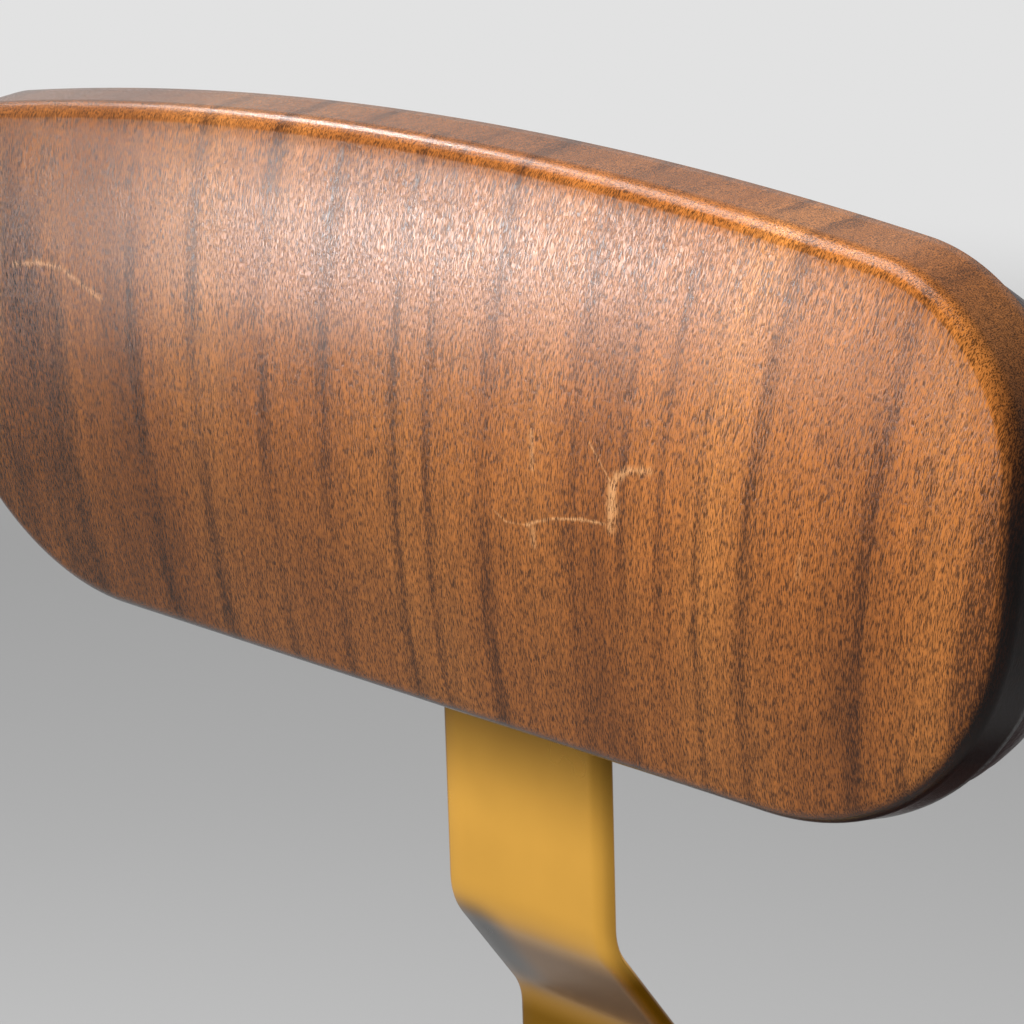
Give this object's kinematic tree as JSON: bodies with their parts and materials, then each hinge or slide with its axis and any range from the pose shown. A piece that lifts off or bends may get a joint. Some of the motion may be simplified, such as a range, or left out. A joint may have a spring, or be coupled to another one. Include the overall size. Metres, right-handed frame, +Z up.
{
  "type": "swivel desk chair",
  "caption": "Swivel desk chair with a walnut-faced back shell on a brass strap, padded seat and back, tilt, gas height column and a star base on casters.",
  "frame": {"origin": "on the floor under the column, the point the seat swivels about", "axes": "+Z up, the sitter faces -Y, +X is the sitter's left; the back's outer face looks to +Y"},
  "size_m": [0.4232, 0.5224, 0.8501],
  "materials": {
    "walnut": "satin",
    "plywood": "matte",
    "upholstery": "satin",
    "satin_brass": "satin",
    "black_steel": "satin",
    "bright_steel": "polished",
    "zinc_steel": "satin",
    "black_plastic": "matte",
    "black_rubber": "matte",
    "tyre_rubber": "matte"
  },
  "bodies": {
    "base": {"star_base": "satin_brass", "caster_sockets": "zinc_steel", "column_tube": "black_steel", "thrust_bearing": "zinc_steel", "column_bushing": "black_plastic"},
    "rod": {"piston_rod": "bright_steel", "rod_clip": "zinc_steel"},
    "lift": {"gas_cylinder": "bright_steel", "column_socket": "black_steel", "mechanism_housing": "black_steel", "torsion_rubber": "black_rubber", "torsion_arm": "zinc_steel", "stop_bumpers": "black_rubber"},
    "button": {"release_button": "zinc_steel"},
    "lever": {"lever_rod": "satin_brass", "lever_pin": "bright_steel", "lever_grip": "black_plastic"},
    "tension": {"tension_bolt": "zinc_steel", "tension_knob": "black_plastic"},
    "seat": {"tilt_plate": "black_steel", "pivot_shaft": "zinc_steel", "pivot_clips": "zinc_steel", "strap_guide": "black_steel", "seat_pan": "walnut", "seat_board": "plywood", "seat_cushion": "upholstery", "seat_screws": "zinc_steel"},
    "clamp": {"clamp_bolt": "zinc_steel", "clamp_knob": "black_plastic"},
    "back": {"back_strap": "satin_brass", "back_board": "plywood", "back_screws": "zinc_steel", "shell_standoffs": "plywood", "back_shell": "walnut", "back_cushion": "upholstery"},
    "caster_1": {"caster_fork_1": "satin_brass", "caster_stem_1": "zinc_steel", "caster_axle_1": "zinc_steel"},
    "wheel_1": {"caster_hub_1": "black_plastic", "caster_tyre_1": "tyre_rubber"},
    "caster_2": {"caster_fork_2": "satin_brass", "caster_stem_2": "zinc_steel", "caster_axle_2": "zinc_steel"},
    "wheel_2": {"caster_hub_2": "black_plastic", "caster_tyre_2": "tyre_rubber"},
    "caster_3": {"caster_fork_3": "satin_brass", "caster_stem_3": "zinc_steel", "caster_axle_3": "zinc_steel"},
    "wheel_3": {"caster_hub_3": "black_plastic", "caster_tyre_3": "tyre_rubber"},
    "caster_4": {"caster_fork_4": "satin_brass", "caster_stem_4": "zinc_steel", "caster_axle_4": "zinc_steel"},
    "wheel_4": {"caster_hub_4": "black_plastic", "caster_tyre_4": "tyre_rubber"}
  },
  "joints": [
    {"name": "seat_swivel", "type": "hinge", "parent": "base", "child": "rod", "pos_m": [0, 0, 0.071], "axis": [0, 0, 1], "continuous": true},
    {"name": "seat_height", "type": "slide", "parent": "rod", "child": "lift", "axis": [0, 0, 1], "range_m": [0, 0.1]},
    {"name": "height_lever", "type": "hinge", "parent": "lift", "child": "lever", "pos_m": [-0.049, 0, 0.3503], "axis": [0, 1, 0], "range_deg": [0, 5], "stiffness_Nm_per_rad": 3},
    {"name": "button_press", "type": "slide", "parent": "lift", "child": "button", "axis": [0, 0, 1], "range_m": [-0.0047, 0]},
    {"name": "tension_turn", "type": "hinge", "parent": "lift", "child": "tension", "pos_m": [0, -0.08, 0.3], "axis": [0, 0, 1], "range_deg": [-720, 720]},
    {"name": "seat_tilt", "type": "hinge", "parent": "lift", "child": "seat", "pos_m": [0, -0.042, 0.345], "axis": [-1, 0, 0], "range_deg": [0, 12], "stiffness_Nm_per_rad": 120, "springref_deg": -20.05},
    {"name": "clamp_turn", "type": "hinge", "parent": "seat", "child": "clamp", "pos_m": [0, 0.115, 0.34], "axis": [0, 0, 1], "range_deg": [-360, 360]},
    {"name": "back_depth", "type": "slide", "parent": "seat", "child": "back", "axis": [0, 1, 0], "range_m": [0, 0.04]},
    {"name": "caster_swivel_1", "type": "hinge", "parent": "base", "child": "caster_1", "pos_m": [0.18526, 0.18526, 0.075], "axis": [0, 0, 1], "continuous": true},
    {"name": "wheel_spin_1", "type": "hinge", "parent": "caster_1", "child": "wheel_1", "pos_m": [0.16869, 0.19229, 0.025], "axis": [-0.3907, -0.9205, 0], "continuous": true},
    {"name": "caster_swivel_2", "type": "hinge", "parent": "base", "child": "caster_2", "pos_m": [-0.18526, 0.18526, 0.075], "axis": [0, 0, 1], "continuous": true},
    {"name": "wheel_spin_2", "type": "hinge", "parent": "caster_2", "child": "wheel_2", "pos_m": [-0.19229, 0.16869, 0.025], "axis": [0.9205, -0.3907, 0], "continuous": true},
    {"name": "caster_swivel_3", "type": "hinge", "parent": "base", "child": "caster_3", "pos_m": [-0.18526, -0.18526, 0.075], "axis": [0, 0, 1], "continuous": true},
    {"name": "wheel_spin_3", "type": "hinge", "parent": "caster_3", "child": "wheel_3", "pos_m": [-0.16869, -0.19229, 0.025], "axis": [0.3907, 0.9205, 0], "continuous": true},
    {"name": "caster_swivel_4", "type": "hinge", "parent": "base", "child": "caster_4", "pos_m": [0.18526, -0.18526, 0.075], "axis": [0, 0, 1], "continuous": true},
    {"name": "wheel_spin_4", "type": "hinge", "parent": "caster_4", "child": "wheel_4", "pos_m": [0.19229, -0.16869, 0.025], "axis": [-0.9205, 0.3907, 0], "continuous": true}
  ],
  "couplings": [
    {"joint": "button_press", "follows": "height_lever", "m_per_rad": -0.0522}
  ]
}
